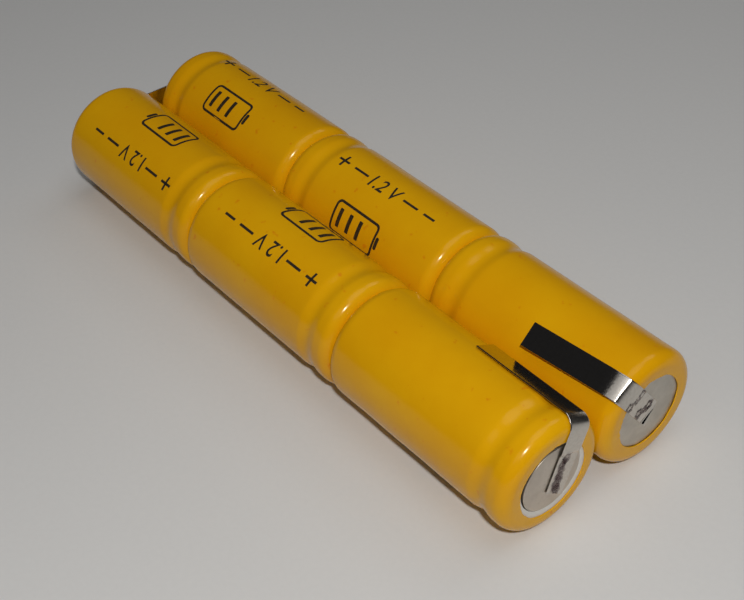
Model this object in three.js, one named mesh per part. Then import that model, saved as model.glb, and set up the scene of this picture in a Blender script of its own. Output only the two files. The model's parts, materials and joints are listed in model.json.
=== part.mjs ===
// Rechargeable battery pack: two glued sticks of three cylindrical nickel-cadmium cells in series.
// Millimetres, +Z up. The sticks lie along X on the plane z = 0, and the two solder tabs are at +X.
// The origin is below the middle of the pack. The front stick is at -Y and the back stick at +Y.

import * as THREE from 'three';

// ---- Cell: s runs along the cell from the sleeve's negative rim (0) to its positive rim ----
const CELL_RADIUS = 7.1; // over the shrink sleeve
const SLEEVE_LENGTH = 28.2;
const SLEEVE_WALL = 0.15;
const OPENING_RADIUS = 4.6; // bare metal shows through the sleeve's ends
const SHOULDER_RADIUS = 1.5;
const WAIST_CENTRE = SLEEVE_LENGTH - 3.8; // where the can is beaded in
const WAIST_HALF_WIDTH = 1.15;
const WAIST_DEPTH = 0.3; // the sleeve spans the bead, so it dips less than the can

const CAN_RADIUS = 6.9;
const CAN_WALL = 0.3;
const CAN_FLOOR = 0.2; // s of the can's outer bottom face
const BEAD_DEPTH = 0.95;
const CRIMP_START = 26.7;
const CRIMP_TOP = 27.67;
const CRIMP_LIP_RADIUS = 5.3;

const ROLL_RADIUS = 6.4;
const ROLL_CORE_RADIUS = 1.2; // left empty by the winding mandrel
const ROLL_START = 1.5;
const ROLL_END = 23.0;

const CLOSURE_RADIUS = 5.85; // cover plate and cap flange, inside the gasket
const GASKET_START = 25.55;
const GASKET_END = 26.5;
const GASKET_OUTER_RADIUS = 6.45;
const GASKET_INNER_RADIUS = 5.95;
const GASKET_FOOT_RADIUS = 5.2;
const GASKET_FOOT_THICKNESS = 0.2;
const COVER_START = 25.8;
const COVER_THICKNESS = 0.25;
const VENT_HOLE_RADIUS = 0.9;
const CAP_RADIUS = 4.05;
const CAP_WALL = 0.3;
const CAP_TOP = SLEEVE_LENGTH - 0.13;
const CAP_FLANGE_START = 26.1;
const CAP_FLANGE_THICKNESS = 0.2;
const PLUG_RADIUS = 1.8;
const PLUG_START = 26.1;
const PLUG_END = 27.2;
const WASHER_INNER_RADIUS = 4.15;
const WASHER_OUTER_RADIUS = 5.55;
const WASHER_START = 27.72;
const WASHER_END = 28;

// ---- Pack ----
const CELLS = ['far', 'middle', 'near'];
const CELL_GAP = 0.05;
const CELL_PITCH = SLEEVE_LENGTH + CELL_GAP;
const STICK_GAP = 0.4; // filled by the adhesive
const STICK_Y = CELL_RADIUS + STICK_GAP / 2;
const RIM_X = (CELLS.length * CELL_PITCH - CELL_GAP) / 2; // the outermost sleeve rims

// ---- Nickel strip: tabs and links ----
const STRIP_THICKNESS = 0.15;
const RIM_CLEARANCE = 0.05; // between a strip and the sleeve's rim
const LEG_CLEARANCE = 0.12; // between a tab's leg and the side of the sleeve
const WELD_CLEARANCE = 0.02;
const STRIP_WIDTH = 3;
const END_LINK_WIDTH = 7;
const RIM_LEVEL = RIM_CLEARANCE + STRIP_THICKNESS / 2;
const CAN_LEVEL = -CAN_FLOOR + WELD_CLEARANCE + STRIP_THICKNESS / 2;
const CAP_LEVEL = CAP_TOP - SLEEVE_LENGTH + WELD_CLEARANCE + STRIP_THICKNESS / 2;
const LEG_LEVEL = CELL_RADIUS + LEG_CLEARANCE + STRIP_THICKNESS / 2;
const JOGGLE_RUN = 0.6; // length over which a strip climbs onto the sleeve's rim
const BEND_GAP = 0.36; // left open along each tab's bend, at its middle

// Each half of a tab leaves the cell's axis at an angle counted from +Y towards +Z, with its centre
// line offset from the axis. The foot is welded on from its end to padEnd, at a level counted from the
// sleeve's rim. The leg folds back over the cell, and its tip stands off by lift. The positive tab is
// bent loosely round the sleeve's shoulder and the negative tab is creased.
const TABS = {
  positive_tab: {
    y: -STICK_Y,
    bendRadius: 1.5,
    foot: { angle: 70, offset: -1.22, level: CAP_LEVEL, end: -2.3, padEnd: 2.7 },
    leg: { angle: 62, offset: -0.23, length: 12.8, lift: 0.05, skew: 0 },
  },
  negative_tab: {
    y: STICK_Y,
    bendRadius: 0.65,
    foot: { angle: 128, offset: 0.2, level: CAN_LEVEL, end: -0.4, padEnd: 3.5 },
    leg: { angle: 128, offset: 0.2, length: 12.7, lift: 0.25, skew: 3.3 },
  },
};

// ---- Adhesive between the sticks ----
const ADHESIVE_HALF_HEIGHT = 1.7;
const ADHESIVE_LENGTH = 25;
const ADHESIVE_CLEARANCE = 0.03;

const SIDES = 20; // facets round a cell, one of them flat on the plane below
const FACET_SCALE = 1 / Math.cos(Math.PI / SIDES); // the facets' middles stand at the true radius
const ARC_STEPS = 4;

const rad = THREE.MathUtils.degToRad;

const material = (color, roughness, metalness) =>
  new THREE.MeshStandardMaterial({ color, roughness, metalness });
const MATERIALS = {
  sleeve: () => material(0xc98f08, 0.35, 0),
  can: () => material(0x8d8a84, 0.35, 1),
  washer: () => material(0xe2ded6, 0.8, 0),
  gasket: () => material(0xe8e6da, 0.5, 0),
  cover: () => material(0x9a9894, 0.35, 1),
  cap: () => material(0x96928c, 0.35, 1),
  plug: () => material(0x1c1c1d, 0.8, 0),
  roll: () => material(0x5a5a5c, 0.85, 0.2),
  strip: () => material(0x8f8d88, 0.2, 1),
  adhesive: () => material(0xd8c9a0, 0.4, 0),
};

const mesh = (name, geometry, finish) => {
  const part = new THREE.Mesh(geometry, MATERIALS[finish]());
  part.name = name;
  return part;
};

// A solid of revolution about +Y from [radius, s] pairs, listed so that its faces point out.
function turned(profile) {
  const points = profile.map(([radius, s]) => new THREE.Vector2(radius * FACET_SCALE, s));
  return new THREE.LatheGeometry(points, SIDES, Math.PI / SIDES, 2 * Math.PI);
}

const ring = (inner, outer, start, end) =>
  turned([[inner, start], [outer, start], [outer, end], [inner, end], [inner, start]]);

// ---- The pieces of one cell ----
function sleeve() {
  const flat = CELL_RADIUS - SHOULDER_RADIUS;
  const round = (angle) => [
    flat + SHOULDER_RADIUS * Math.sin(rad(angle)),
    SHOULDER_RADIUS * (1 - Math.cos(rad(angle))),
  ];
  const [midRadius, midDepth] = round(45);
  const waist = (inset) => [
    [CELL_RADIUS - inset, WAIST_CENTRE - WAIST_HALF_WIDTH],
    [CELL_RADIUS - WAIST_DEPTH - inset, WAIST_CENTRE],
    [CELL_RADIUS - inset, WAIST_CENTRE + WAIST_HALF_WIDTH],
  ];
  const outside = [
    [OPENING_RADIUS, 0],
    [flat, 0],
    [midRadius, midDepth],
    [CELL_RADIUS, SHOULDER_RADIUS],
    ...waist(0),
    [CELL_RADIUS, SLEEVE_LENGTH - SHOULDER_RADIUS],
    [midRadius, SLEEVE_LENGTH - midDepth],
    [flat, SLEEVE_LENGTH],
    [OPENING_RADIUS, SLEEVE_LENGTH],
  ];
  const inside = [
    [OPENING_RADIUS, SLEEVE_LENGTH - SLEEVE_WALL],
    [flat, SLEEVE_LENGTH - SLEEVE_WALL],
    [CELL_RADIUS - SLEEVE_WALL, SLEEVE_LENGTH - SHOULDER_RADIUS],
    ...waist(SLEEVE_WALL).reverse(),
    [CELL_RADIUS - SLEEVE_WALL, SHOULDER_RADIUS],
    [flat, SLEEVE_WALL],
    [OPENING_RADIUS, SLEEVE_WALL],
  ];
  return turned([...outside, ...inside, outside[0]]);
}

function can() {
  const corner = SHOULDER_RADIUS - 0.1;
  const cornerStart = CAN_RADIUS - corner;
  const inner = CAN_RADIUS - CAN_WALL;
  return turned([
    [0, CAN_FLOOR],
    [cornerStart, CAN_FLOOR],
    [CAN_RADIUS, CAN_FLOOR + corner],
    [CAN_RADIUS, WAIST_CENTRE - WAIST_HALF_WIDTH],
    [CAN_RADIUS - BEAD_DEPTH, WAIST_CENTRE],
    [CAN_RADIUS, WAIST_CENTRE + WAIST_HALF_WIDTH],
    [CAN_RADIUS, CRIMP_START],
    [CRIMP_LIP_RADIUS, CRIMP_TOP],
    [CRIMP_LIP_RADIUS, CRIMP_TOP - CAN_WALL],
    [inner, CRIMP_START - CAN_WALL / 2],
    [inner, WAIST_CENTRE + WAIST_HALF_WIDTH],
    [inner - BEAD_DEPTH, WAIST_CENTRE],
    [inner, WAIST_CENTRE - WAIST_HALF_WIDTH],
    [inner, CAN_FLOOR + corner],
    [cornerStart, CAN_FLOOR + CAN_WALL],
    [0, CAN_FLOOR + CAN_WALL],
  ]);
}

const electrodeRoll = () => ring(ROLL_CORE_RADIUS, ROLL_RADIUS, ROLL_START, ROLL_END);
const coverPlate = () =>
  ring(VENT_HOLE_RADIUS, CLOSURE_RADIUS, COVER_START, COVER_START + COVER_THICKNESS);
const insulatingWasher = () =>
  ring(WASHER_INNER_RADIUS, WASHER_OUTER_RADIUS, WASHER_START, WASHER_END);
const ventPlug = () =>
  turned([[0, PLUG_START], [PLUG_RADIUS, PLUG_START], [PLUG_RADIUS, PLUG_END], [0, PLUG_END]]);

// A ring with an inward foot that the cover plate stands on.
const gasket = () => turned([
  [GASKET_FOOT_RADIUS, GASKET_START],
  [GASKET_OUTER_RADIUS, GASKET_START],
  [GASKET_OUTER_RADIUS, GASKET_END],
  [GASKET_INNER_RADIUS, GASKET_END],
  [GASKET_INNER_RADIUS, GASKET_START + GASKET_FOOT_THICKNESS],
  [GASKET_FOOT_RADIUS, GASKET_START + GASKET_FOOT_THICKNESS],
  [GASKET_FOOT_RADIUS, GASKET_START],
]);

// The positive terminal: a flat-topped hat, open below, with a flange that the gasket grips.
const cap = () => turned([
  [0, CAP_TOP - CAP_WALL],
  [CAP_RADIUS - CAP_WALL, CAP_TOP - CAP_WALL],
  [CAP_RADIUS - CAP_WALL, CAP_FLANGE_START],
  [CLOSURE_RADIUS, CAP_FLANGE_START],
  [CLOSURE_RADIUS, CAP_FLANGE_START + CAP_FLANGE_THICKNESS],
  [CAP_RADIUS, CAP_FLANGE_START + CAP_FLANGE_THICKNESS],
  [CAP_RADIUS, CAP_TOP],
  [0, CAP_TOP],
]);

const CELL_PIECES = {
  sleeve: [sleeve, 'sleeve'],
  can: [can, 'can'],
  electrode_roll: [electrodeRoll, 'roll'],
  gasket: [gasket, 'gasket'],
  cover_plate: [coverPlate, 'cover'],
  vent_plug: [ventPlug, 'plug'],
  terminal_cap: [cap, 'cap'],
  insulating_washer: [insulatingWasher, 'washer'],
};

function cell(prefix) {
  const group = new THREE.Group();
  for (const [piece, [make, finish]] of Object.entries(CELL_PIECES)) {
    group.add(mesh(`${prefix}_${piece}`, make(), finish));
  }
  return group;
}

// ---- Nickel strip ----
// A strip of the given width that follows a flat path: its outline is the path moved half a
// thickness to each side, mitred at the corners.
function stripGeometry(path, width) {
  const points = path.map(([x, y]) => new THREE.Vector2(x, y));
  const side = (sign) => points.map((point, i) => {
    const before = point.clone().sub(points[Math.max(i - 1, 0)]).normalize();
    const after = points[Math.min(i + 1, points.length - 1)].clone().sub(point).normalize();
    const along = before.clone().add(after).normalize();
    const known = before.lengthSq() > 0 ? before : after;
    const reach = (sign * STRIP_THICKNESS) / 2 / along.dot(known);
    return new THREE.Vector2(point.x - along.y * reach, point.y + along.x * reach);
  });
  const outline = [...side(1), ...side(-1).reverse()];
  const geometry = new THREE.ExtrudeGeometry(new THREE.Shape(outline), {
    depth: width,
    bevelEnabled: false,
  });
  return geometry.translate(0, 0, -width / 2);
}

// A bend over the sleeve's shoulder turns from the end plane (0 degrees) to the side (90) about this
// centre. Tab paths are [outward from the rim plane, outward from the cell's axis].
const bendCentre = (radius) => [RIM_LEVEL - radius, LEG_LEVEL - radius];
const halfGap = (radius) => THREE.MathUtils.radToDeg(BEND_GAP / 2 / radius);
const bend = (radius, from, to) => Array.from({ length: ARC_STEPS + 1 }, (_, i) => {
  const angle = rad(from + ((to - from) * i) / ARC_STEPS);
  const [out, up] = bendCentre(radius);
  return [out + radius * Math.cos(angle), up + radius * Math.sin(angle)];
});
const footPath = (radius, { end, padEnd, level }) => [
  [level, end],
  [level, padEnd],
  [RIM_LEVEL, padEnd + JOGGLE_RUN],
  ...bend(radius, 0, 45 - halfGap(radius)),
];
const legPath = (radius, { length, lift }) => [
  ...bend(radius, 45 + halfGap(radius), 90),
  [bendCentre(radius)[0] - length, LEG_LEVEL + lift],
];

// Half of a tab, skewed about the radius through the middle of its bend's circle.
function tabHalf(name, path, radius, { angle, offset, skew = 0 }) {
  const [out] = bendCentre(radius);
  const half = mesh(name, stripGeometry(path, STRIP_WIDTH), 'strip');
  half.geometry.translate(-out, 0, 0);
  half.position.set(out, 0, offset);
  half.rotation.y = rad(skew);
  const holder = new THREE.Group();
  holder.rotation.x = rad(angle);
  holder.add(half);
  return holder;
}

function tab(name, { y, bendRadius, foot, leg }) {
  const group = new THREE.Group();
  group.position.set(RIM_X, y, CELL_RADIUS);
  group.add(tabHalf(`${name}_foot`, footPath(bendRadius, foot), bendRadius, foot));
  group.add(tabHalf(`${name}_leg`, legPath(bendRadius, leg), bendRadius, leg));
  return group;
}

// Between two cells of a stick: welded to a cap, folded once and welded to the next can's bottom.
function cellLink(name) {
  const halfLength = 2.8;
  const foldRun = 0.3;
  const onCap = CAP_TOP + WELD_CLEARANCE + STRIP_THICKNESS / 2;
  const onCan = CELL_PITCH + CAN_FLOOR - WELD_CLEARANCE - STRIP_THICKNESS / 2;
  const path = [
    [halfLength, onCan],
    [-halfLength, onCan],
    [-halfLength - foldRun, (onCan + onCap) / 2],
    [-halfLength, onCap],
    [halfLength, onCap],
  ];
  return mesh(name, stripGeometry(path, STRIP_WIDTH), 'strip');
}

// Across the far ends: from the front stick's can bottom to the back stick's cap.
function endLink(name) {
  const padHalfLength = 2.3;
  const step = 0.55;
  const path = [
    [CAN_LEVEL, -STICK_Y - padHalfLength],
    [CAN_LEVEL, -STICK_Y + padHalfLength],
    [RIM_LEVEL, -STICK_Y + padHalfLength + step],
    [RIM_LEVEL, STICK_Y - padHalfLength - step],
    [CAP_LEVEL, STICK_Y - padHalfLength],
    [CAP_LEVEL, STICK_Y + padHalfLength],
  ].map(([out, y]) => [-RIM_X - out, y]);
  const link = mesh(name, stripGeometry(path, END_LINK_WIDTH), 'strip');
  link.position.z = CELL_RADIUS;
  return link;
}

// A bar of adhesive in the valley between the sticks, hollowed on both sides by the sleeves.
function adhesive(name, x) {
  const radius = CELL_RADIUS * FACET_SCALE + ADHESIVE_CLEARANCE;
  const reach = Math.asin(ADHESIVE_HALF_HEIGHT / radius);
  const outline = new THREE.Shape();
  outline.absarc(STICK_Y, 0, radius, Math.PI - reach, Math.PI + reach, false);
  outline.absarc(-STICK_Y, 0, radius, -reach, reach, false);
  const geometry = new THREE.ExtrudeGeometry(outline, {
    depth: ADHESIVE_LENGTH,
    curveSegments: ARC_STEPS,
    bevelEnabled: false,
  });
  geometry.translate(0, 0, -ADHESIVE_LENGTH / 2);
  const bar = mesh(name, geometry, 'adhesive');
  bar.rotation.set(Math.PI / 2, 0, Math.PI / 2, 'ZXY');
  bar.position.set(x, 0, CELL_RADIUS);
  return bar;
}

// ---- Assembly ----
// Cells and cell links are made upright and laid along X: the front stick's positive ends face +X.
function stick(name, y, direction) {
  const group = new THREE.Group();
  group.position.set(0, y, CELL_RADIUS);
  group.rotation.z = (-direction * Math.PI) / 2;
  CELLS.forEach((place, i) => {
    const order = direction > 0 ? i : CELLS.length - 1 - i;
    const one = cell(`${name}_${place}`);
    one.position.y = order * CELL_PITCH - RIM_X;
    group.add(one);
    if (order < CELLS.length - 1) {
      const link = cellLink(`${name}_${place}_cell_link`);
      link.position.y = one.position.y;
      group.add(link);
    }
  });
  return group;
}

const pack = new THREE.Group();
pack.add(stick('front', -STICK_Y, 1), stick('back', STICK_Y, -1));
for (const [name, spec] of Object.entries(TABS)) pack.add(tab(name, spec));
pack.add(endLink('far_end_link'));
CELLS.forEach((place, i) => pack.add(adhesive(`${place}_adhesive`, (i - 1) * CELL_PITCH)));

export default pack;
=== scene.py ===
import json
import math

import bmesh
import bpy
import numpy as np
from mathutils import Matrix, Vector, noise


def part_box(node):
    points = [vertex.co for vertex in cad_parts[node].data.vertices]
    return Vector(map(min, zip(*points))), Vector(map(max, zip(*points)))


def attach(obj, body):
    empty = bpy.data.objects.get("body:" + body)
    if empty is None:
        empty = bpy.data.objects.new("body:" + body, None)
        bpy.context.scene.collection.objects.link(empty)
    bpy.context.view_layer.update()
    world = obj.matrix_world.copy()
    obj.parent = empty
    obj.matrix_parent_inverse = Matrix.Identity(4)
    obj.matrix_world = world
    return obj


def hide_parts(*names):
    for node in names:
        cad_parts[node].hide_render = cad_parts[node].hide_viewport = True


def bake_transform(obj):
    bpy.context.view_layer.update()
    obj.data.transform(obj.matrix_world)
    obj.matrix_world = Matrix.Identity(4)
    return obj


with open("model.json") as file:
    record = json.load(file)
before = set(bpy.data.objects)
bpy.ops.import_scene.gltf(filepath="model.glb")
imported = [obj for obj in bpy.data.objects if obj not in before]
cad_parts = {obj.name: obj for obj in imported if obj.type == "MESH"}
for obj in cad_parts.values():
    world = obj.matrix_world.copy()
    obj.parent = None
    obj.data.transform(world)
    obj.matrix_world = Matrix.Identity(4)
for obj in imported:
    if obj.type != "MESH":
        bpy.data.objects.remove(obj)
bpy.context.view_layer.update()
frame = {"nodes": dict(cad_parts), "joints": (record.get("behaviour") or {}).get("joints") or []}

# Lengths below are millimetres; MM turns them into Blender's metres. s runs along a cell from its
# negative rim to its positive rim, and an angle round a cell is counted from +Y towards +Z. A strip's
# levels are the heights of its middle over the rim's plane, or over the cell's axis for its leg.
MM = 0.001
SEGMENTS = 128

CELL_RADIUS = 7.1
SLEEVE_LENGTH = 28.2
SLEEVE_WALL = 0.15
OPENING_RADIUS = 4.6
SHOULDER_RADIUS = 1.5
WASHER_HOLE = 4.15
WASHER_RADIUS = 5.55
WASHER_MIDDLE = (WASHER_HOLE + WASHER_RADIUS) / 2
WAIST_CENTRE = SLEEVE_LENGTH - 3.8
WAIST_HALF_WIDTH = 1.65
WAIST_DEPTH = 0.27
BEAD_HALF_WIDTH = 1.15
BEAD_DEPTH = 0.95
CAP_TOP = SLEEVE_LENGTH - 0.13
CAN_FLOOR = 0.2
CELL_PITCH = 28.25

STRIP_THICKNESS = 0.15
STRIP_WIDTH = 3.0
RIM_LEVEL = 0.125
CAN_LEVEL = -0.105
CAP_LEVEL = -0.035
LEG_LEVEL = 7.295
JOGGLE_RUN = 0.6
BEND_OUT = -0.525
LEAN_START = 5.2
EASE_RUN = 2.5
LOW_SIDE = math.radians(288)
HIGH_SIDE = math.radians(129)

scene = bpy.context.scene


def smoothstep(x):
    x = min(1.0, max(0.0, x))
    return x * x * (3 - 2 * x)


# ---------------------------------------------------------------- materials
class Nodes:
    """A node material with one Principled shader, and short ways to wire textures into it."""

    def __init__(self, name, **constants):
        self.material = bpy.data.materials.new(name)
        self.material.use_nodes = True
        self.tree = self.material.node_tree
        self.shader = self.tree.nodes["Principled BSDF"]
        for socket, value in constants.items():
            self.shader.inputs[socket.replace("_", " ")].default_value = value
        self.place = self.tree.nodes.new("ShaderNodeTexCoord").outputs["Object"]

    def node(self, kind, inputs=(), **settings):
        made = self.tree.nodes.new("ShaderNode" + kind)
        for key, value in settings.items():
            setattr(made, key, value)
        for socket, value in dict(inputs).items():
            if isinstance(value, bpy.types.NodeSocket):
                self.tree.links.new(value, made.inputs[socket])
            else:
                made.inputs[socket].default_value = value
        return made

    def noise(self, scale, detail=3.0, rough=0.55, stretch=None, vector=None):
        vector = vector or self.place
        if stretch:
            vector = self.node("Mapping", {"Vector": vector, "Scale": stretch}).outputs["Vector"]
        return self.node("TexNoise", {"Vector": vector, "Scale": scale, "Detail": detail,
                                      "Roughness": rough}).outputs["Fac"]

    def attribute(self, name):
        return self.node("Attribute", attribute_name=name).outputs["Fac"]

    def ramp(self, value, low, high, to_low=0.0, to_high=1.0):
        return self.node("MapRange", {"Value": value, "From Min": low, "From Max": high,
                                      "To Min": to_low, "To Max": to_high}).outputs["Result"]

    def mix(self, factor, a, b):
        made = self.node("Mix", data_type="RGBA")
        for socket, value in (("Factor", factor), ("A", a), ("B", b)):
            found = [i for i in made.inputs if i.name == socket and i.enabled][0]
            if isinstance(value, bpy.types.NodeSocket):
                self.tree.links.new(value, found)
            else:
                found.default_value = value if socket == "Factor" else (*value, 1.0)
        return [o for o in made.outputs if o.enabled][0]

    def math(self, operation, *values):
        made = self.node("Math", operation=operation)
        for socket, value in zip(made.inputs, values):
            if isinstance(value, bpy.types.NodeSocket):
                self.tree.links.new(value, socket)
            else:
                socket.default_value = value
        return made.outputs[0]

    def feed(self, socket, value):
        self.tree.links.new(value, self.shader.inputs[socket])

    def bump(self, *layers):
        """layers are (height, millimetres, strength) triples."""
        normal = None
        for height, depth, strength in layers:
            inputs = {"Height": height, "Distance": depth * MM, "Strength": strength}
            if normal:
                inputs["Normal"] = normal
            normal = self.node("Bump", inputs).outputs["Normal"]
        self.feed("Normal", normal)


def sleeve_material():
    n = Nodes("sleeve_film", IOR=1.5, Specular_IOR_Level=0.34, Specular_Tint=(1.0, 0.90, 0.66, 1.0))
    cloud = n.noise(90, 4)
    tone = n.mix(n.ramp(cloud, 0.35, 0.7), (0.80, 0.41, 0.003), (0.75, 0.355, 0.002))
    speck = n.ramp(n.noise(900, 2, 0.4), 0.70, 0.78)
    n.feed("Base Color", n.mix(n.math("MULTIPLY", speck, 0.5), tone, (0.70, 0.16, 0.004)))
    rub = n.noise(260, 5, 0.65, stretch=(0.35, 1, 1))
    n.feed("Roughness", n.ramp(rub, 0.3, 0.75, 0.15, 0.23))
    n.bump((n.noise(350, 3), 0.03, 0.5), (n.noise(2600, 2), 0.004, 0.5))
    return n.material


def steel_material(name, colour, stain, low, high, grain):
    """Nickel plate with blots and flecks of stain, whose roughness runs from low to high."""
    n = Nodes(name, Metallic=1.0)
    blot = n.ramp(n.noise(420, 5, 0.62), 0.38, 0.72)
    fleck = n.ramp(n.noise(2400, 2, 0.5), 0.60, 0.75)
    dark = n.math("MAXIMUM", n.math("MULTIPLY", blot, 0.55), n.math("MULTIPLY", fleck, 0.5))
    n.feed("Base Color", n.mix(dark, colour, stain))
    n.feed("Roughness", n.ramp(n.noise(700, 4, 0.6), 0.3, 0.7, low, high))
    n.bump((n.noise(1500, 3), grain, 0.6), (n.noise(230, 2), 0.02, 0.4))
    return n.material


def strip_material():
    """Rolled nickel: fine lines along the strip, duller at a bend, and dark heat marks round the welds."""
    n = Nodes("nickel_strip", Metallic=1.0)
    run, side, burn, matte = (n.attribute(key) for key in ("run", "side", "burn", "matte"))
    lines = n.node("CombineXYZ", {"X": n.math("MULTIPLY", run, 0.03), "Y": side}).outputs["Vector"]
    line = n.noise(14, 5, 0.7, vector=lines)
    cloud = n.noise(3.0, 4, 0.6, vector=n.node(
        "CombineXYZ", {"X": run, "Y": side}).outputs["Vector"])
    clean = n.mix(n.ramp(cloud, 0.35, 0.7), (0.625, 0.59, 0.54), (0.53, 0.495, 0.445))
    n.feed("Base Color", n.mix(burn, clean, (0.150, 0.105, 0.105)))
    polish = n.ramp(line, 0.3, 0.7, 0.06, 0.11)
    worn = n.math("ADD", n.math("MULTIPLY", burn, 0.10), n.math("MULTIPLY", matte, 0.16))
    n.feed("Roughness", n.math("ADD", polish, worn))
    pits = n.math("MULTIPLY", burn, n.noise(3200, 3, 0.6))
    n.bump((line, 0.002, 0.4), (cloud, 0.02, 0.3), (pits, 0.30, 1.0))
    return n.material


def washer_material():
    n = Nodes("washer_fibre")
    fibre = n.noise(1800, 5, 0.7)
    n.feed("Base Color", n.mix(fibre, (0.78, 0.77, 0.735), (0.68, 0.665, 0.62)))
    n.feed("Roughness", n.ramp(fibre, 0.3, 0.7, 0.75, 0.92))
    n.bump((fibre, 0.02, 0.7))
    return n.material


def plain_material(name, light, dark, scale, low, high, depth):
    """Two shades of one grain, whose roughness runs from low to high."""
    n = Nodes(name)
    grain = n.noise(scale, 4, 0.6)
    n.feed("Base Color", n.mix(n.ramp(grain, 0.3, 0.7), light, dark))
    n.feed("Roughness", n.ramp(grain, 0.3, 0.7, low, high))
    n.bump((grain, depth, 0.6))
    return n.material


MATERIALS = {
    "sleeve": sleeve_material(),
    "can": steel_material("can_nickel_plate", (0.55, 0.515, 0.455), (0.36, 0.33, 0.29), 0.30, 0.46, 0.004),
    "cap": steel_material("cap_nickel_plate", (0.585, 0.53, 0.465), (0.39, 0.345, 0.295), 0.28, 0.46, 0.004),
    "cover": steel_material("cover_nickel_plate", (0.66, 0.64, 0.60), (0.5, 0.48, 0.44), 0.3, 0.4, 0.003),
    "strip": strip_material(),
    "washer": washer_material(),
    "gasket": plain_material(
        "gasket_nylon", (0.82, 0.80, 0.72), (0.74, 0.71, 0.62), 900, 0.4, 0.55, 0.01),
    "plug": plain_material(
        "plug_rubber", (0.020, 0.020, 0.021), (0.012, 0.012, 0.012), 2000, 0.7, 0.88, 0.02),
    "roll": plain_material(
        "roll_sinter", (0.16, 0.16, 0.17), (0.09, 0.09, 0.095), 1600, 0.75, 0.95, 0.02),
    "adhesive": plain_material(
        "hot_melt", (0.36, 0.19, 0.03), (0.28, 0.13, 0.02), 500, 0.25, 0.40, 0.05),
    "ink": plain_material(
        "print_ink", (0.012, 0.011, 0.010), (0.045, 0.030, 0.012), 3500, 0.38, 0.6, 0.004),
}


# ---------------------------------------------------------------- mesh helpers
def piece(name, points, faces, finish, nodes=(), sharp=32, body="root"):
    """A closed mesh from points in millimetres, smooth but for its sharp edges."""
    mesh = bpy.data.meshes.new(name)
    mesh.from_pydata((np.asarray(points, float) * MM).tolist(), [], faces)
    bm = bmesh.new()
    bm.from_mesh(mesh)
    bmesh.ops.recalc_face_normals(bm, faces=bm.faces)
    bm.to_mesh(mesh)
    bm.free()
    mesh.shade_smooth()
    mesh.set_sharp_from_angle(angle=math.radians(sharp))
    mesh.materials.append(MATERIALS[finish])
    made = bpy.data.objects.new(name, mesh)
    scene.collection.objects.link(made)
    if nodes:
        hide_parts(*nodes)
    if body:
        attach(made, body)
    return made


def fillet(corners, closed=True, steps=5):
    """Rounds a 2-D outline. Each corner is (x, y, radius)."""
    out = []
    for i, (x, y, radius) in enumerate(corners):
        p = np.array([x, y], float)
        if radius <= 0 or (not closed and i in (0, len(corners) - 1)):
            out.append(p)
            continue
        before = np.array(corners[i - 1][:2], float) - p
        after = np.array(corners[(i + 1) % len(corners)][:2], float) - p
        before, after = before / np.linalg.norm(before), after / np.linalg.norm(after)
        half = math.acos(max(-1.0, min(1.0, float(before @ after)))) / 2
        centre = p + (before + after) / np.linalg.norm(before + after) * radius / math.sin(half)
        first, last = p + before * radius / math.tan(half), p + after * radius / math.tan(half)
        sweep = math.pi - 2 * half
        for k in range(steps + 1):
            t = k / steps
            a, b = math.sin((1 - t) * sweep) / math.sin(sweep), math.sin(t * sweep) / math.sin(sweep)
            out.append(centre + (first - centre) * a + (last - centre) * b)
    return [tuple(p) for p in out]


class Cell:
    """Where one cell lies, read from its sleeve's box and its vent's axis."""

    def __init__(self, name, order):
        low, high = (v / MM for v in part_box(name + "_sleeve"))
        joint = next(j for j in frame["joints"] if j["name"] == name + "_vent")
        self.name, self.order = name, order
        self.direction = 1 if joint["axis"][0] > 0 else -1
        self.start = low.x if self.direction > 0 else high.x
        self.y, self.z = (low.y + high.y) / 2, (low.z + high.z) / 2

    def at(self, s, radius, angle):
        return (self.start + self.direction * s, self.y + radius * math.cos(angle),
                self.z + radius * math.sin(angle))


def lathe(cell, part, profile, finish, closed=True, shift=None, segments=SEGMENTS, body="root",
          sharp=32):
    """Turns (s, radius) pairs about the cell's axis; shift moves each point by (ds, dradius)."""
    points, rows, faces = [], [], []
    for s, radius in profile:
        if radius < 1e-6:
            rows.append([len(points)])
            points.append(cell.at(s, 0, 0))
            continue
        rows.append(range(len(points), len(points) + segments))
        for i in range(segments):
            angle = 2 * math.pi * i / segments
            ds, dr = shift(s, radius, angle) if shift else (0, 0)
            points.append(cell.at(s + ds, radius + dr, angle))
    pairs = list(zip(rows, rows[1:])) + ([(rows[-1], rows[0])] if closed else [])
    for low, high in pairs:
        for j in range(segments):
            k = (j + 1) % segments
            if len(low) == 1:
                faces.append((low[0], high[k], high[j]))
            elif len(high) == 1:
                faces.append((low[j], low[k], high[0]))
            else:
                faces.append((low[j], low[k], high[k], high[j]))
    name = f"{cell.name}_{part}"
    return piece(name, points, faces, finish, [name], sharp, body)


# ---------------------------------------------------------------- one cell
def waist_inset(s, depth, half_width):
    away = abs(s - WAIST_CENTRE) / half_width
    return depth * 0.5 * (1 + math.cos(math.pi * away)) if away < 1 else 0.0


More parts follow.
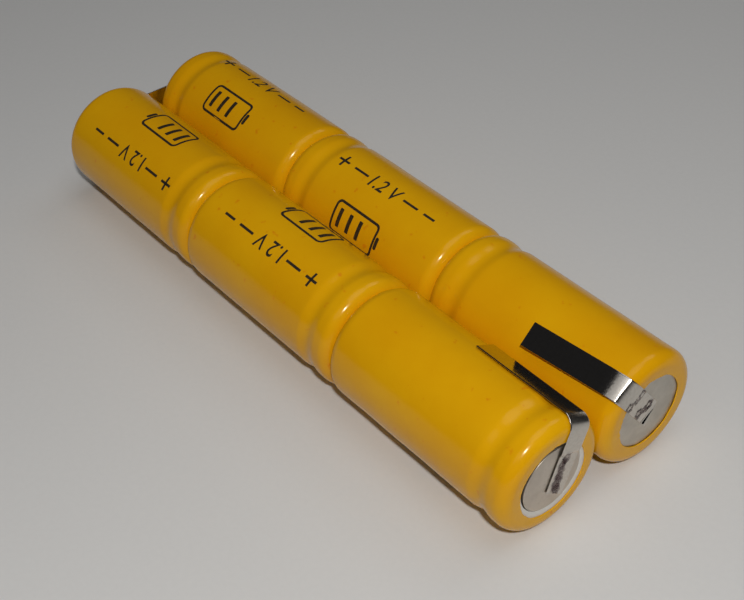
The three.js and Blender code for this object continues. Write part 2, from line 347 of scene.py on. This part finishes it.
def sleeve_profile():
    """The film's outside and inside as one closed outline."""
    flat = CELL_RADIUS - SHOULDER_RADIUS
    end = [(0.0, r) for r in np.linspace(OPENING_RADIUS, flat, 7)[:-1]]
    end += [(SHOULDER_RADIUS * (1 - math.cos(a)), flat + SHOULDER_RADIUS * math.sin(a))
            for a in np.radians(np.linspace(0, 90, 13))]
    low, high = WAIST_CENTRE - WAIST_HALF_WIDTH, WAIST_CENTRE + WAIST_HALF_WIDTH
    middle = [*np.linspace(SHOULDER_RADIUS, low, 25)[1:], *np.linspace(low, high, 21)[1:],
              *np.linspace(high, SLEEVE_LENGTH - SHOULDER_RADIUS, 4)[1:-1]]
    outside = end + [(s, CELL_RADIUS - waist_inset(s, WAIST_DEPTH, WAIST_HALF_WIDTH)) for s in middle]
    outside += [(SLEEVE_LENGTH - s, r) for s, r in reversed(end)]
    path = np.array(outside)
    along = np.gradient(path, axis=0)
    along /= np.linalg.norm(along, axis=1)[:, None]
    inside = path + np.stack([along[:, 1], -along[:, 0]], 1) * SLEEVE_WALL
    lip = OPENING_RADIUS - 0.05
    kept = [i for i in range(len(path)) if i in (0, len(path) - 1) or i % 3 == 1]
    return (outside + [(SLEEVE_LENGTH - SLEEVE_WALL / 2, lip)]
            + [tuple(inside[i]) for i in reversed(kept)] + [(SLEEVE_WALL / 2, lip)])


def sleeve_shift(cell):
    """Shallow dents in the body, and a wavy lip where the film has shrunk over the ends. The lip of the
    front stick's open positive end hangs wide on its low side, where the washer shows."""
    lopsided = 0.40 if cell.name == "front_near" else 0.0

    def shift(s, radius, angle):
        round_ = Vector((math.cos(angle), math.sin(angle), 0.0))
        at = Vector((s * 0.16 + 31.7 * cell.order, round_.x * 1.4, round_.y * 1.4))
        dent = -0.036 * min(1.0, max(0.0, 0.5 + noise.noise(at)))
        edge = smoothstep((5.6 - radius) / 0.9)
        wave = noise.noise(round_ * 2.4 + Vector((cell.order * 7.3, s * 0.4, 3.1)))
        ripple = noise.noise(round_ * 9.0 + Vector((cell.order * 3.9, s * 0.4, 8.2)))
        body = smoothstep((radius - 5.6) / 0.8)
        inward = 1 if s < SLEEVE_LENGTH / 2 else -1
        sink = 0.035 * edge * (0.5 + ripple) * inward
        aside = lopsided * max(0.0, math.cos(angle - LOW_SIDE)) if inward < 0 else 0.0
        return sink, dent * body + edge * ((0.16 - 0.2 * lopsided) * wave + 0.05 * ripple + aside)
    return shift


def can_profile():
    """The can from the middle of its bottom, over the bead and the crimp, and back inside."""
    corner, radius, wall, mouth = 1.4, 6.9, 0.3, 5.3
    crimp_start, crimp_top = 26.7, 27.67
    low, high = WAIST_CENTRE - BEAD_HALF_WIDTH, WAIST_CENTRE + BEAD_HALF_WIDTH
    bead = [(s, radius - waist_inset(s, BEAD_DEPTH, BEAD_HALF_WIDTH)) for s in np.linspace(low, high, 13)]
    out = fillet([(CAN_FLOOR, 0, 0), (CAN_FLOOR, radius, corner), (low, radius, 0)], False, 8)
    out += bead[1:]
    out += fillet([(high, radius, 0), (crimp_start, radius, 0.3), (crimp_top, mouth + 0.12, 0.10),
                   (crimp_top, mouth, 0.05), (crimp_top - wall, mouth, 0.06),
                   (crimp_start - wall / 2, radius - wall, 0.15), (high, radius - wall, 0)], False)[1:]
    out += [(s, r - wall) for s, r in reversed(bead[:-1])]
    out += fillet([(low, radius - wall, 0), (CAN_FLOOR + wall, radius - wall, corner - wall),
                   (CAN_FLOOR + wall, 0, 0)], False, 8)[1:]
    return out


def ring_profile(inner, outer, start, end, rounding):
    return fillet([(start, inner, rounding), (start, outer, rounding), (end, outer, rounding),
                   (end, inner, rounding)], True, 3)


def cap_profile():
    """A hat: a flat top, a short side and a flange."""
    radius, wall, flange = 4.05, 0.3, 5.85
    flange_low, flange_high = 26.1, 26.3
    under, inner = CAP_TOP - wall, radius - wall
    return fillet([(under, 0, 0), (under, inner, 0.15), (flange_low, inner, 0.1), (flange_low, flange, 0.05),
                   (flange_high, flange, 0.05), (flange_high, radius, 0.12), (CAP_TOP, radius, 0.07),
                   (CAP_TOP, 0, 0)], False, 6)


def gasket_profile():
    """An L: a floor under the cover plate and a wall round the cap's flange."""
    hole, seat, rim = 5.2, 5.95, 6.45
    bottom, floor, top = 25.55, 25.75, 26.5
    return fillet([(bottom, hole, 0.06), (bottom, rim, 0.15), (top, rim, 0.08), (top, seat, 0.08),
                   (floor, seat, 0.06), (floor, hole, 0.06)], True, 3)


def plug_profile():
    base, shoulder, tip = 26.1, 27.0, 27.2
    wide, narrow = 1.8, 1.1
    return fillet([(base, 0, 0), (base, wide, 0.12), (shoulder, wide, 0.3), (tip, narrow, 0.5), (tip, 0, 0)],
                  False, 5)


def electrode_roll(cell):
    """One sheet wound from the core to the can's wall."""
    inner, outer, pitch, thick = 1.2, 6.4, 0.8, 0.72
    start, end = 1.5, 23.0
    turns = (outer - thick - inner) / pitch
    steps = int(turns * 44)
    points, faces = [], []
    for i in range(steps + 1):
        angle = 2 * math.pi * turns * i / steps
        radius = inner + pitch * turns * i / steps
        for s, r in ((start, radius), (start, radius + thick), (end, radius + thick), (end, radius)):
            points.append(cell.at(s, r, angle))
    for i in range(steps):
        for j in range(4):
            k = (j + 1) % 4
            faces.append((4 * i + j, 4 * i + k, 4 * i + 4 + k, 4 * i + 4 + j))
    faces += [(3, 2, 1, 0), tuple(4 * steps + j for j in range(4))]
    name = f"{cell.name}_electrode_roll"
    return piece(name, points, faces, "roll", [name])


def washer_shift(cell):
    """Gentle waves, and a hole that is wide on its high side."""
    def shift(s, radius, angle):
        round_ = Vector((math.cos(angle), math.sin(angle), cell.order * 1.7))
        aside = 0.5 * max(0.0, math.cos(angle - HIGH_SIDE)) ** 2 if radius < WASHER_MIDDLE else 0.0
        return 0.02 * noise.noise(round_ * 2.2), aside + 0.04 * noise.noise(round_ * 1.5 + Vector((5, 0, 0)))
    return shift


def build_cell(cell):
    lathe(cell, "sleeve", sleeve_profile(), "sleeve", shift=sleeve_shift(cell), sharp=50)
    lathe(cell, "can", can_profile(), "can", closed=False)
    lathe(cell, "terminal_cap", cap_profile(), "cap", closed=False)
    washer = ring_profile(WASHER_HOLE, WASHER_RADIUS, 27.72, 28.0, 0.05)
    lathe(cell, "insulating_washer", washer, "washer", shift=washer_shift(cell))
    lathe(cell, "gasket", gasket_profile(), "gasket", segments=96)
    cover = ring_profile(0.9, 5.85, 25.8, 26.05, 0.06)
    lathe(cell, "cover_plate", cover, "cover", segments=96)
    lathe(cell, "vent_plug", plug_profile(), "plug", closed=False, segments=64,
          body=cell.name + "_vent_plug")
    electrode_roll(cell)


CELLS = [Cell(f"{stick}_{place}", i + 1) for i, (stick, place) in enumerate(
    (stick, place) for stick in ("front", "back") for place in ("far", "middle", "near"))]
for one in CELLS:
    build_cell(one)


# ---------------------------------------------------------------- nickel strips
def weld(d, radius, around, fill):
    """Height and heat mark at distance d from the middle of a weld of that radius. Its outline is lumpy, and
    fill takes the mark from a ring at 0 to a spot at 1."""
    d *= 1 + 0.16 * math.sin(2 * around + 40 * radius) + 0.10 * math.sin(5 * around + 90 * radius)
    crater = -math.exp(-1.3 * (d / radius) ** 2)
    rim = 0.55 * math.exp(-((d - 1.1 * radius) / (0.24 * radius)) ** 2)
    edge = math.exp(-((d - 0.9 * radius) / (0.30 * radius)) ** 2)
    return crater + rim, (1 - fill) * 0.9 * edge + fill * (0.75 * math.exp(-(d / radius) ** 4) + 0.3 * edge)


def flat_rows(origin, out, along, across, path):
    """Rows for a strip that isn't twisted; path holds its middle as (outward, along) pairs."""
    origin, out, along, across = (np.array(v, float) for v in (origin, out, along, across))
    path = np.array(path, float)
    step = np.gradient(path, axis=0)
    step /= np.linalg.norm(step, axis=1)[:, None]
    return [(origin + out * o + along * a, out * s[1] - along * s[0], across, a)
            for (o, a), s in zip(path, step)]


def strip(name, rows, width, nodes, welds=(), lift=None, slant=0.0, body="root", crease=None):
    """A strip through rows of (middle, outward, sideways, place), where place counts along it.
    welds are (place, across, radius, depth, heat, fill) on its outer face, lift(place, across) moves it
    outward, slant is the slope of the cut at its first end, and crease is the row where it is bent."""
    middles = np.array([row[0] for row in rows])
    step = np.gradient(middles, axis=0)
    step /= np.linalg.norm(step, axis=1)[:, None]
    half = STRIP_THICKNESS / 2
    rim = [half * (1 - math.cos(b)) for b in np.radians([0, 40, 90])]
    inner = np.linspace(-width / 2 + half, width / 2 - half, int(width / 0.09))[1:-1]
    columns = [*(-width / 2 + e for e in rim), *inner, *(width / 2 - e for e in reversed(rim))]

    def thickness(v):
        near = min(1.0, (width / 2 - abs(v)) / half)
        return half * math.sqrt(max(0.0, 1 - (1 - near) ** 2))

    loop = [(v, 1) for v in columns] + [(v, -1) for v in reversed(columns[1:-1])]
    run = np.concatenate([[0], np.cumsum(np.linalg.norm(np.diff(middles, axis=0), axis=1))])
    points, runs, sides, burns, mattes = [], [], [], [], []
    for i, (middle, outward, sideways, place) in enumerate(rows):
        matte = math.exp(-((run[i] - run[crease]) / 1.3) ** 2) if crease else 0.0
        cut = slant * max(0.0, 1 - run[i] / 1.4)
        for v, face in loop:
            a = place + cut * v
            height, mark = 0.0, 0.0
            for wa, wv, radius, depth, heat, fill in welds:
                d = math.hypot(a - wa, v - wv)
                if d < 3 * radius:
                    h, m = weld(d, radius, math.atan2(v - wv, a - wa), fill)
                    height, mark = height + h * depth * (1 if face > 0 else 0.3), mark + m * heat
            off = face * thickness(v) + height + (lift(a, v) if lift else 0.0)
            points.append(middle + step[i] * cut * v + outward * off + sideways * v)
            runs.append(run[i] + cut * v)
            sides.append(v)
            burns.append(min(1.0, mark))
            mattes.append(matte)
    faces, m, columns_n = [], len(loop), len(columns)
    for i in range(len(rows) - 1):
        for j in range(m):
            k = (j + 1) % m
            faces.append((m * i + j, m * i + k, m * i + m + k, m * i + m + j))
    for i in (0, len(rows) - 1):
        top = [m * i + j for j in range(columns_n)]
        under = [m * i] + [m * i + m - j for j in range(1, columns_n - 1)] + [m * i + columns_n - 1]
        for j in range(columns_n - 1):
            quad = dict.fromkeys((top[j], top[j + 1], under[j + 1], under[j]))
            faces.append(tuple(quad))
    made = piece(name, points, faces, "strip", nodes, 60, body)
    for key, values in (("run", runs), ("side", sides), ("burn", burns), ("matte", mattes)):
        attribute = made.data.attributes.new(key, "FLOAT", "POINT")
        attribute.data.foreach_set("value", np.array(values, np.float32))
    return made


def tab_path(level, foot_end, pad_end, radius, lean, ease, rise, leg_length, tip):
    """(outward, along) from the welded end, over the sleeve's rim and back along the cell. A foot that leans
    does so from LEAN_START, by lean degrees at the bend. The leg's last ease degrees are spread over
    EASE_RUN, rise lifts it, and tip(t) bends it."""
    leaning, easing = math.radians(lean), math.radians(ease)
    ease_height = math.tan(easing) * EASE_RUN / 2
    centre = LEG_LEVEL + rise - ease_height - radius * math.cos(easing)
    foot_top = centre + radius * math.sin(leaning)
    flat_end = LEAN_START if lean else foot_top
    foot = [(level, a) for a in np.linspace(foot_end, pad_end, int((pad_end - foot_end) / 0.08) + 1)]
    foot += [(level + (RIM_LEVEL - level) * smoothstep(t), pad_end + JOGGLE_RUN * t)
             for t in np.linspace(0, 1, 9)[1:]]
    foot += [(RIM_LEVEL, a) for a in np.linspace(pad_end + JOGGLE_RUN, flat_end, 20)[1:]]
    steps = 14 if lean else 0
    for i in range(1, steps + 1):
        drop = math.tan(leaning * (i - 0.5) / steps) * (foot_top - flat_end) / steps
        foot.append((foot[-1][0] - drop, flat_end + (foot_top - flat_end) * i / steps))
    out = foot[-1][0] - radius * math.cos(leaning)
    bend = [(out + radius * math.cos(t), centre + radius * math.sin(t))
            for t in np.radians(np.linspace(lean, 90 - ease, 25)[1:])]
    leg_out, leg_level = bend[-1]
    length = leg_length - (BEND_OUT - leg_out)
    leg = []
    for t in np.linspace(0, 1, 91)[1:]:
        left = max(0.0, 1 - length * t / EASE_RUN)
        leg.append((leg_out - length * t, leg_level + ease_height * (1 - left ** 2) + tip(t)))
    return foot + bend + leg, len(foot), len(foot + bend)


def facing(angle):
    """Outward from a cell's axis at that angle in degrees, and sideways to it."""
    a = math.radians(angle)
    return np.array([0, math.cos(a), math.sin(a)]), np.array([0, -math.sin(a), math.cos(a)])


def build_tab(name, cell, foot, bend, leg, welds, lift, slant):
    """foot is (angle, offset, level, end, pad end), bend is (radius, lean, ease, rise), and leg is
    (angle, offset, the distance of its tip from the rim, skew in degrees, tip)."""
    foot_angle, foot_offset, level, foot_end, pad_end = foot
    leg_angle, leg_offset, leg_tip, skew, tip = leg
    path, bend_start, bend_end = tab_path(level, foot_end, pad_end, *bend, leg_tip + BEND_OUT, tip)
    rim = np.array([cell.start + (SLEEVE_LENGTH if cell.direction > 0 else 0), cell.y, cell.z])
    x_axis = np.array([1.0, 0, 0])
    step = np.gradient(np.array(path), axis=0)
    off_weld = 99.0
    rows = []
    for i, ((o, a), (so, sa)) in enumerate(zip(path, step)):
        share = smoothstep((i - bend_start) / (bend_end - bend_start))
        along, across = facing(foot_angle + (leg_angle - foot_angle) * share)
        turn, x = math.radians(skew) * share, o - BEND_OUT
        middle = (rim + x_axis * (BEND_OUT + x * math.cos(turn)) + along * a
                  + across * (foot_offset + (leg_offset - foot_offset) * share - x * math.sin(turn)))
        outward = (x_axis * sa - along * so) / math.hypot(so, sa)
        sideways = across * math.cos(turn) + x_axis * math.sin(turn)
        rows.append((middle, outward, sideways, off_weld if share else a))
    made = strip(name, rows, STRIP_WIDTH, [name + "_foot", name + "_leg"],
                 [(a, v - foot_offset, *rest) for a, v, *rest in welds],
                 lambda a, v: lift(a, v) if a < off_weld / 2 else 0.0, slant, None,
                 (bend_start + bend_end) // 2)
    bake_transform(made)
    return made


def positive_foot_lift(a, v):
    """One edge of the foot and its end stand off the cap."""
    edge = smoothstep((v - 0.9) / 0.6)
    return 0.05 * edge * (1 - smoothstep((a - 2.9) / 0.6)) + 0.03 * (1 - smoothstep((a + 2.15) / 0.3))


def negative_foot_lift(a, v):
    """The cut end of the foot is bent up off the can."""
    return (1 - smoothstep((a + 0.36) / 0.26)) * (0.15 + 0.07 * v)


by_name = {one.name: one for one in CELLS}
# Weld places are (along, across, radius, depth, heat, fill), across counted from the cell's axis.
build_tab("positive_tab", by_name["front_near"], (70, -1.22, CAP_LEVEL, -2.15, 2.7), (1.5, 0, 0, 0),
          (61.5, -0.23, 14.15, 0.0, lambda t: 0.05 * t),
          [(2.45, -0.95, 0.58, 0.07, 0.8, 0.7), (1.72, -0.62, 0.60, 0.07, 0.95, 0.9),
           (0.80, -0.80, 0.48, 0.06, 0.9, 1.0), (0.10, -0.85, 0.52, 0.07, 0.9, 0.9),
           (-0.78, -0.80, 0.74, 0.09, 1.0, 1.0), (-1.62, -1.15, 0.56, 0.10, 1.0, 0.8)],
          positive_foot_lift, 0.3)
build_tab("negative_tab", by_name["back_near"], (128, 0.05, CAN_LEVEL, -0.4, 3.5), (0.5, 32, 17, 0.18),
          (128, 0.05, 13.2, 4.0, lambda t: 0.18 * t),
          [(4.25, -0.88, 0.50, 0.05, 1.0, 0.1), (4.40, 0.10, 0.30, 0.04, 0.9, 0.6),
           (4.80, 1.10, 0.50, 0.05, 0.9, 0.1), (1.09, -0.53, 0.50, 0.07, 1.2, 0.2),
           (1.35, 0.21, 0.32, 0.05, 1.1, 0.6), (1.78, 0.92, 0.48, 0.06, 1.1, 0.3)],
          negative_foot_lift, -0.22)


def smooth_path(corners, radius, spacing):
    """A path through corners rounded by that radius, with points no further apart than spacing."""
    rounded = fillet([(x, y, radius) for x, y in corners], False, 6)
    out = [rounded[0]]
    for a, b in zip(rounded, rounded[1:]):
        count = max(1, math.ceil(math.dist(a, b) / spacing))
        out += [tuple(np.array(a) + (np.array(b) - np.array(a)) * k / count) for k in range(1, count + 1)]
    return out


def build_end_link():
    """The wide strip from the front stick's can bottom to the back stick's cap."""
    low, high = (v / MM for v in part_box("far_end_link"))
    front, back = by_name["front_far"], by_name["back_far"]
    rim_x, pad, joggle = front.start, 2.3, 0.55
    rise_end, fall_start = front.y + pad + joggle, back.y - pad - joggle
    path = smooth_path([(CAN_LEVEL, front.y - pad), (CAN_LEVEL, front.y + pad), (RIM_LEVEL, rise_end),
                        (RIM_LEVEL, fall_start), (CAP_LEVEL, back.y - pad), (CAP_LEVEL, back.y + pad)],
                       0.5, 0.12)
    spots = [(y + da, dv, 0.45, 0.06, 0.85, 0.4) for y in (front.y, back.y)
             for da, dv in ((-1.0, -1.1), (-1.05, 1.2), (1.0, -1.2), (1.1, 1.05))]
    rows = flat_rows((rim_x, 0, (low.z + high.z) / 2), (-1, 0, 0), (0, 1, 0), (0, 0, 1), path)
    strip("far_end_link", rows, high.z - low.z, ["far_end_link"], spots)


def build_cell_link(cell):
    """A strip from this cell's cap to the next can's bottom, folded over between them."""
    name, pad, fold = cell.name + "_cell_link", 2.8, 3.1
    on_cap = CAP_TOP + 0.02 + STRIP_THICKNESS / 2
    on_can = CELL_PITCH + CAN_FLOOR - 0.02 - STRIP_THICKNESS / 2
    path = smooth_path([(on_can, pad), (on_can, -pad), ((on_can + on_cap) / 2, -fold), (on_cap, -pad),
                        (on_cap, pad)], 0.03, 0.2)
    rows = flat_rows((cell.start, cell.y, cell.z), (cell.direction, 0, 0), (0, 1, 0), (0, 0, 1), path)
    strip(name, rows, STRIP_WIDTH, [name])


build_end_link()
for one in CELLS:
    if f"{one.name}_cell_link" in frame["nodes"]:
        build_cell_link(one)


# ---------------------------------------------------------------- adhesive in the valley
def build_adhesive(name, seed):
    """A bead that fills the gap between the sleeves, with hollow faces and uneven edges."""
    low, high = (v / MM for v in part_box(name))
    middle_z, reach = (low.z + high.z) / 2, (high.z - low.z) / 2
    axis_y, radius = by_name["front_far"].y, CELL_RADIUS + 0.012
    stations, side, hollow = 72, 9, 0.16
    points, faces = [], []
    for i in range(stations + 1):
        t = i / stations
        x = low.x + (high.x - low.x) * t
        end = math.sqrt(max(0.0, 1 - (2 * t - 1) ** 16))
        edges = []
        for sign in (1, -1):
            wave = noise.noise(Vector((x * 0.35, sign * 4.0, seed)))
            ripple = noise.noise(Vector((x * 1.1, sign * 9.0, seed)))
            edges.append(sign * reach * (0.25 + 0.75 * end) * (0.82 + 0.14 * (wave + 0.5 * ripple)))
        top, bottom = edges
        outline = []
        for face in (-1, 1):
            heights = np.linspace(bottom, top, side)[::-face]
            outline += [(-face * (axis_y + math.sqrt(radius ** 2 - h ** 2)), h) for h in heights]
            width, edge = abs(outline[-1][0]), heights[-1]
            outline += [(face * width * u, edge + face * hollow * (1 - u * u)) for u in (-0.5, 0.0, 0.5)]
        points += [(x, y, middle_z + h) for y, h in outline]
    m = len(outline)
    for i in range(stations):
        for j in range(m):
            k = (j + 1) % m
            faces.append((m * i + j, m * i + k, m * i + m + k, m * i + m + j))
    faces += [tuple(range(m))[::-1], tuple(m * stations + j for j in range(m))]
    piece(name, points, faces, "adhesive", [name], 60)


for i, place in enumerate(("far", "middle", "near")):
    build_adhesive(place + "_adhesive", 2.7 * i + 1.3)


# ---------------------------------------------------------------- print on the sleeves
def text_solid(text, size):
    """Text as a solid from -0.5 to 0.5, centred."""
    curve = bpy.data.curves.new("polarity", "FONT")
    curve.body, curve.size, curve.extrude, curve.offset = text, size, 0.5, 0.03
    curve.align_x, curve.align_y, curve.resolution_u = "CENTER", "CENTER", 3
    holder = bpy.data.objects.new("polarity", curve)
    scene.collection.objects.link(holder)
    mesh = bpy.data.meshes.new_from_object(holder.evaluated_get(bpy.context.evaluated_depsgraph_get()))
    bpy.data.objects.remove(holder)
    bm = bmesh.new()
    bm.from_mesh(mesh)
    bpy.data.meshes.remove(mesh)
    bmesh.ops.remove_doubles(bm, verts=bm.verts, dist=1e-5)
    return bm


def add_plate(bm, outline, hole=None):
    """A plate from -0.5 to 0.5, with an optional hole whose outline has as many points."""
    levels = []
    for z in (-0.5, 0.5):
        levels.append([[bm.verts.new((x, y, z)) for x, y in loop] for loop in (outline, hole) if loop])
    count = len(outline)
    for j in range(count):
        k = (j + 1) % count
        for loop in range(len(levels[0])):
            a, b = levels[0][loop], levels[1][loop]
            bm.faces.new((a[j], a[k], b[k], b[j]))
        if hole:
            for outer, inner in levels:
                bm.faces.new((outer[j], outer[k], inner[k], inner[j]))
    if not hole:
        bm.faces.new(levels[0][0][::-1])
        bm.faces.new(levels[1][0])


def rounded_box(left, right, low, high, radius):
    corners = ((left, low), (right, low), (right, high), (left, high))
    return fillet([(x, y, radius) for x, y in corners], True, 5)


def battery_icon():
    """A generic battery: a case, its terminal and three bars."""
    bm = bmesh.new()
    add_plate(bm, rounded_box(-4.2, 3.7, -2.2, 2.2, 0.75), rounded_box(-3.86, 3.36, -1.86, 1.86, 0.45))
    add_plate(bm, rounded_box(3.8, 4.3, -0.8, 0.8, 0.2))
    for x in (-2.9, -1.1, 0.7):
        add_plate(bm, rounded_box(x - 0.3, x + 0.3, -1.25, 1.25, 0.12))
    return bm


def wrap(bm, cell, name, centre_s, centre_angle):
    """Lays a flat print on a sleeve: it reads from the positive end to the negative one."""
    shift = sleeve_shift(cell)
    for x in np.arange(-3.0, 3.01, 0.25):
        bmesh.ops.bisect_plane(bm, geom=bm.verts[:] + bm.edges[:] + bm.faces[:], plane_co=(0, x + 0.003, 0),
                               plane_no=(0, 1, 0))
    points = []
    for vertex in bm.verts:
        u, v, layer = vertex.co
        s, angle = centre_s - u, centre_angle + cell.direction * v / CELL_RADIUS
        radius = CELL_RADIUS + shift(s, CELL_RADIUS, angle)[1] + (0.014 if layer > 0 else -0.03)
        points.append(cell.at(s, radius, angle))
    bm.verts.index_update()
    faces = [[v.index for v in f.verts] for f in bm.faces]
    bm.free()
    return piece(name, points, faces, "ink", (), 30)


def polarity_line():
    """Plus, bar, 1.2 V, bar and minus, 17.6 mm long."""
    bm = text_solid("1.2 V", 3.0)
    wide, tall = [v.co.x for v in bm.verts], [v.co.y for v in bm.verts]
    middle_x, middle_y = (max(wide) + min(wide)) / 2, (max(tall) + min(tall)) / 2
    scale_x, scale_y = 4.9 / (max(wide) - min(wide)), 2.1 / (max(tall) - min(tall))
    for v in bm.verts:
        v.co.x, v.co.y = (v.co.x - middle_x) * scale_x, (v.co.y - middle_y) * scale_y
    for side in (-1, 1):
        add_plate(bm, rounded_box(side * 4.55 - 1.3, side * 4.55 + 1.3, -0.17, 0.17, 0.05))
    add_plate(bm, rounded_box(6.9, 8.8, -0.17, 0.17, 0.05))
    plus = [(-0.95, -0.17), (-0.17, -0.17), (-0.17, -0.95), (0.17, -0.95), (0.17, -0.17), (0.95, -0.17),
            (0.95, 0.17), (0.17, 0.17), (0.17, 0.95), (-0.17, 0.95), (-0.17, 0.17), (-0.95, 0.17)]
    add_plate(bm, [(x - 7.85, y) for x, y in plus])
    return bm


def build_print(cell, angle, slide):
    """The polarity line, and the icon 52 degrees further round below it."""
    wrap(polarity_line(), cell, cell.name + "_polarity_print", 14.0 + slide, math.radians(angle))
    wrap(battery_icon(), cell, cell.name + "_icon_print", 14.0 + slide,
         math.radians(angle - 52 * cell.direction))


for name, angle, slide in (("back_middle", 98.5, -0.3), ("back_far", 72, 0.8), ("front_middle", 118.5, -0.4),
                           ("front_far", 133, 0.0), ("back_near", -54, 0.3), ("front_near", -60, -0.2)):
    build_print(by_name[name], angle, slide)


# ---------------------------------------------------------------- floor, camera and light
def build_floor():
    size = 1.6
    mesh = bpy.data.meshes.new("floor")
    corners = [(x * size, y * size, -0.00002) for x, y in ((-1, -1), (1, -1), (1, 1), (-1, 1))]
    mesh.from_pydata(corners, [], [(0, 1, 2, 3)])
    n = Nodes("floor_paper")
    grain = n.noise(1400, 3)
    n.feed("Base Color", n.mix(grain, (0.70, 0.70, 0.695), (0.67, 0.67, 0.665)))
    n.feed("Roughness", n.ramp(grain, 0.3, 0.7, 0.85, 0.95))
    n.bump((grain, 0.02, 0.3))
    mesh.materials.append(n.material)
    floor = bpy.data.objects.new("floor", mesh)
    scene.collection.objects.link(floor)


def axes(azimuth, elevation, roll):
    """The camera's right, up and back directions."""
    a, e = math.radians(azimuth), math.radians(elevation)
    back = Vector((math.sin(a) * math.cos(e), -math.cos(a) * math.cos(e), math.sin(e)))
    right = (-back).cross(Vector((0, 0, 1))).normalized()
    turn = Matrix.Rotation(math.radians(roll), 3, back)
    return turn @ right, turn @ right.cross(-back), back


def area_light(name, place, target, size, power, colour):
    light = bpy.data.lights.new(name, "AREA")
    light.shape, light.size, light.energy, light.color = "DISK", size, power, colour
    made = bpy.data.objects.new(name, light)
    made.location = place
    made.rotation_mode = "QUATERNION"
    made.rotation_quaternion = (Vector(target) - Vector(place)).to_track_quat("-Z", "Y")
    scene.collection.objects.link(made)


build_floor()
TARGET = Vector((8.826, -3.14, 7.0)) * MM
right, up, back = axes(51.02, 40.56, -1.37)
eye = TARGET + back * 156.15 * MM
camera = bpy.data.objects.new("camera", bpy.data.cameras.new("camera"))
camera.data.lens, camera.data.sensor_width = 64.214, 36.0
camera.data.clip_start, camera.data.clip_end = 0.005, 10.0
camera.matrix_world = Matrix((right, up, back)).transposed().to_4x4()
camera.location = eye
scene.collection.objects.link(camera)
scene.camera = camera

area_light("key", eye + back * 0.08 + right * 0.008 + up * 0.034, TARGET, 0.014, 0.30, (1.0, 0.975, 0.94))
area_light("overhead", Vector((0.10, 0.05, 0.60)), TARGET, 0.45, 0.55, (0.97, 0.985, 1.0))
area_light("back_fill", Vector((0.0, 0.42, 0.54)), TARGET, 0.30, 0.28, (1.0, 0.99, 0.97))
area_light("front_fill", Vector((0.12, -0.42, 0.50)), TARGET, 0.30, 0.13, (1.0, 0.99, 0.97))

world = bpy.data.worlds.new("room")
world.use_nodes = True
world.node_tree.nodes["Background"].inputs["Color"].default_value = (0.017, 0.017, 0.018, 1.0)
scene.world = world
scene.view_settings.view_transform = "Standard"
